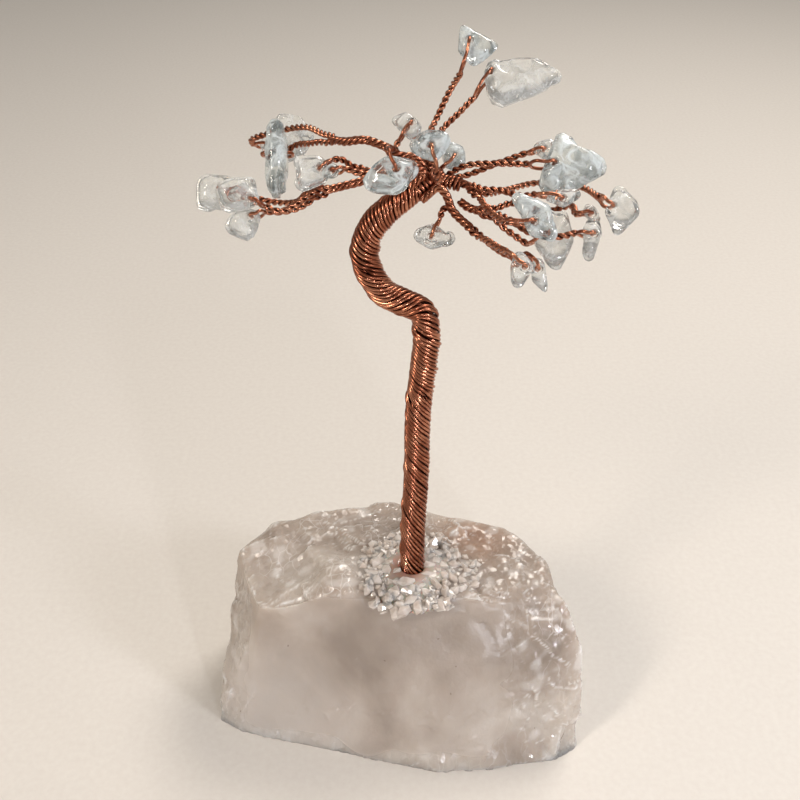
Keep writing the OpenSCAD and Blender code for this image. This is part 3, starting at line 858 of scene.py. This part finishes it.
def tumble_chip(name, seed):
    """A drilled chip: broken flats rounded off by tumbling, thinner at the rim, with the hole left open."""
    chip = rough_out("chip_" + name, "quartz_chip_" + name)
    worked(chip, "REMESH", mode="VOXEL", voxel_size=0.16 * MM)
    worked(chip, "SMOOTH", factor=0.5, iterations=6)
    centre = Vector(HINGES[name + "_swing"]["pos_m"]) / MM
    axis = Vector(HINGES[name + "_swing"]["axis"])
    shift = Vector((seed * 13.7, seed * 5.1, 0))
    mesh = chip.data
    points = [v.co / MM for v in mesh.vertices]
    normals = [v.normal.copy() for v in mesh.vertices]
    middle = sum(points, Vector()) / len(points)
    flat = [(p - middle) - axis * (p - middle).dot(axis) for p in points]
    widest = max(f.length for f in flat)
    for vertex, p, n, f in zip(mesh.vertices, points, normals, flat):
        from_hole = (p - centre) - axis * (p - centre).dot(axis)
        keep = between(from_hole.length, 0.6, 1.4)
        thin = 0.7 * abs(n.dot(axis)) * between(f.length / widest, 0.3, 1)
        height = facet(p + shift, 4, 0.3) + 0.1 * noise.noise(p / 1.8 + shift) - thin
        vertex.co += n * MM * keep * max(-1.1, min(0.0, height))
    worked(chip, "SMOOTH", factor=0.5, iterations=8)
    smooth_shaded(chip)
    return chip


MISTY = {"left_high_a", "left_mid_b", "middle_a", "middle_b", "middle_c", "right_a", "right_high_a", "top_a"}
for n, name in enumerate(TWIGS):
    material = MISTY_QUARTZ if name in MISTY else CHIP_QUARTZ
    finished(tumble_chip(name, n), material, "chips", "quartz_" + name, "chip_" + name)

# ---------------------------------------------------------------- glue and grit at the foot

def pour_glue():
    glue = rough_out("glue", "resin_puddle")
    worked(glue, "REMESH", mode="VOXEL", voxel_size=0.3 * MM)
    worked(glue, "SMOOTH", factor=0.5, iterations=4)
    smooth_shaded(glue)
    return glue


def crush_grit(count=300):
    """Crushed crumbs of 0.6 to 2 mm bedded in the glue, heaped at the trunk and straggling at the rim."""
    bpy.ops.object.select_all(action="DESELECT")
    bpy.ops.mesh.primitive_ico_sphere_add(subdivisions=1, radius=1)
    pattern = bpy.context.view_layer.objects.active
    shape = [v.co.copy() for v in pattern.data.vertices]
    faces = [tuple(f.vertices) for f in pattern.data.polygons]
    bpy.data.objects.remove(pattern)
    dice = random.Random(11)
    points, skins = [], []
    for k in range(count):
        share = math.sqrt((k + 0.5) / count)
        angle = k * math.radians(137.5) + dice.uniform(-0.3, 0.3)
        lobes = 1 + 0.3 * noise.noise(Vector((1.6 * math.cos(angle), 1.6 * math.sin(angle), 4)))
        spread = 2.2 + 7.3 * share * lobes
        size = dice.uniform(0.5, 1.35) * (1.1 - 0.3 * share)
        x, y = FOOT.x + spread * math.cos(angle), FOOT.y + spread * math.sin(angle)
        drop = FOOT.z + 0.75 - 0.13 * spread - 0.05 * max(0.0, -(y + 4)) ** 1.3
        place = Vector((x, y, drop + dice.uniform(-0.3, 0.2)))
        turn = Matrix.Rotation(dice.uniform(0, 6.28), 3, "Z") @ Matrix.Rotation(dice.uniform(0, 3.1), 3, "X")
        stretch = Matrix.Diagonal((dice.uniform(0.8, 1.5), dice.uniform(0.7, 1.2), dice.uniform(0.5, 0.9)))
        base = len(points)
        for corner in shape:
            jag = corner * dice.uniform(0.7, 1.25)
            points.append((place + size * (turn @ (stretch @ jag))) * MM)
        skins += [tuple(base + i for i in face) for face in faces]
    mesh = bpy.data.meshes.new("quartz_grit")
    mesh.from_pydata(points, [], skins)
    grit = bpy.data.objects.new("quartz_grit", mesh)
    bpy.context.scene.collection.objects.link(grit)
    return grit


finished(pour_glue(), RESIN, "glue", "tree", "glue")
finished(crush_grit(), GRIT_QUARTZ, "grit", "tree", "grit")

# ---------------------------------------------------------------- floor

bpy.ops.object.select_all(action="DESELECT")
bpy.ops.mesh.primitive_plane_add(size=6, location=(0, 0, 0))
floor = bpy.context.view_layer.objects.active
floor.name = "floor"
floor.data.materials.append(pale_floor())
